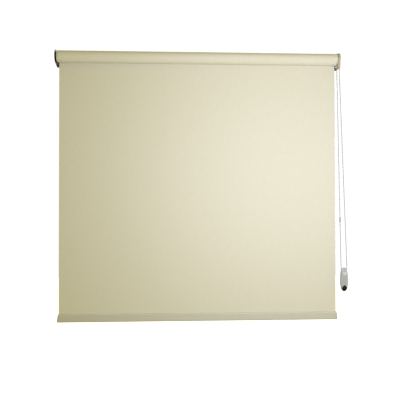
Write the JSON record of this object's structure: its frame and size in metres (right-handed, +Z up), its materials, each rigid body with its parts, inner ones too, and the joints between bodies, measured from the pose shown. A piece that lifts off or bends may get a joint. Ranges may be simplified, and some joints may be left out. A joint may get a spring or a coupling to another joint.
{
  "type": "roller blind",
  "caption": "Roller blind with fabric on a tube, a bead-chain clutch, bracket covers, a hanging chain weight and a bottom bar, let down.",
  "frame": {"origin": "on the wall plane, level with the roller's axis and midway along the fabric", "axes": "+X along the roller towards the chain, +Y into the wall, +Z up"},
  "size_m": [1.258, 0.0735, 1.1679],
  "materials": {
    "cream_fabric": "matte woven",
    "tube_aluminium": "mill finish",
    "beige_rail": "satin powder coat",
    "beige_cap": "satin",
    "cream_plastic": "satin gloss",
    "light_plastic": "satin",
    "grey_plastic": "satin",
    "black_plastic": "satin",
    "black_steel": "black coat",
    "bright_steel": "zinc bright",
    "clear_plastic": "milky",
    "chain_white": "satin"
  },
  "bodies": {
    "root": {"idle_bush": "light_plastic", "idle_bracket": "black_steel", "idle_bracket_cover": "black_plastic", "clutch_post": "cream_plastic", "clutch_washer": "bright_steel", "clutch_screw": "bright_steel", "chain_guard": "cream_plastic", "control_bracket": "black_steel", "control_bracket_cover": "cream_plastic", "fabric_sheet": "cream_fabric", "chain_on_sprocket": "chain_white", "chain_hanging_loop": "chain_white", "weight_front_shell": "grey_plastic", "weight_rear_shell": "grey_plastic", "weight_axle": "bright_steel", "weight_ballast": "bright_steel", "weight_base_plug": "black_plastic", "weight_pulley_cover": "light_plastic"},
    "roller": {"roller_tube": "tube_aluminium", "fabric_roll": "cream_fabric", "fabric_spline": "clear_plastic", "idle_end_plug": "light_plastic", "idle_plug_cap": "black_plastic", "drive_crown": "light_plastic", "chain_sprocket": "grey_plastic", "wrap_spring_inner": "bright_steel", "wrap_spring_outer": "bright_steel", "idle_pin_spring": "bright_steel"},
    "idle_pin": {"idle_pin": "bright_steel"},
    "bottom_bar": {"hem_bar": "beige_rail", "hem_spline": "clear_plastic", "hem_bar_cap_left": "beige_cap", "hem_bar_cap_right": "beige_cap"},
    "front_stop": {"front_chain_stop": "clear_plastic"},
    "rear_stop": {"rear_chain_stop": "clear_plastic", "chain_connector": "chain_white"},
    "weight_pulley": {"weight_pulley": "light_plastic"}
  },
  "joints": [
    {"name": "roller_spin", "type": "hinge", "parent": "root", "child": "roller", "pos_m": [0, -0.045, 0], "axis": [1, 0, 0], "range_deg": [0, 2160]},
    {"name": "idle_pin_travel", "type": "slide", "parent": "roller", "child": "idle_pin", "axis": [1, 0, 0], "range_m": [0, 0.009], "stiffness_N_per_m": 250, "springref_m": -0.012, "deforming": ["idle_pin_spring"]},
    {"name": "hem_lift", "type": "slide", "parent": "root", "child": "bottom_bar", "axis": [0, 0, 1], "range_m": [0, 0.9934], "deforming": ["fabric_sheet"]},
    {"name": "front_stop_travel", "type": "slide", "parent": "root", "child": "front_stop", "axis": [0.0399, 0.0188, -0.999], "range_m": [0, 0.648]},
    {"name": "rear_stop_travel", "type": "slide", "parent": "root", "child": "rear_stop", "axis": [-0.0115, 0.0188, 0.9998], "range_m": [0, 0.648]},
    {"name": "pulley_spin", "type": "hinge", "parent": "root", "child": "weight_pulley", "pos_m": [0.63, -0.045, -0.93], "axis": [0, 1, 0], "range_deg": [0, 3888.5]}
  ],
  "couplings": [
    {"joint": "hem_lift", "follows": "roller_spin", "m_per_rad": 0.02635},
    {"joint": "front_stop_travel", "follows": "roller_spin", "m_per_rad": 0.017188},
    {"joint": "rear_stop_travel", "follows": "roller_spin", "m_per_rad": 0.017188},
    {"joint": "pulley_spin", "follows": "roller_spin", "ratio": 1.8}
  ]
}
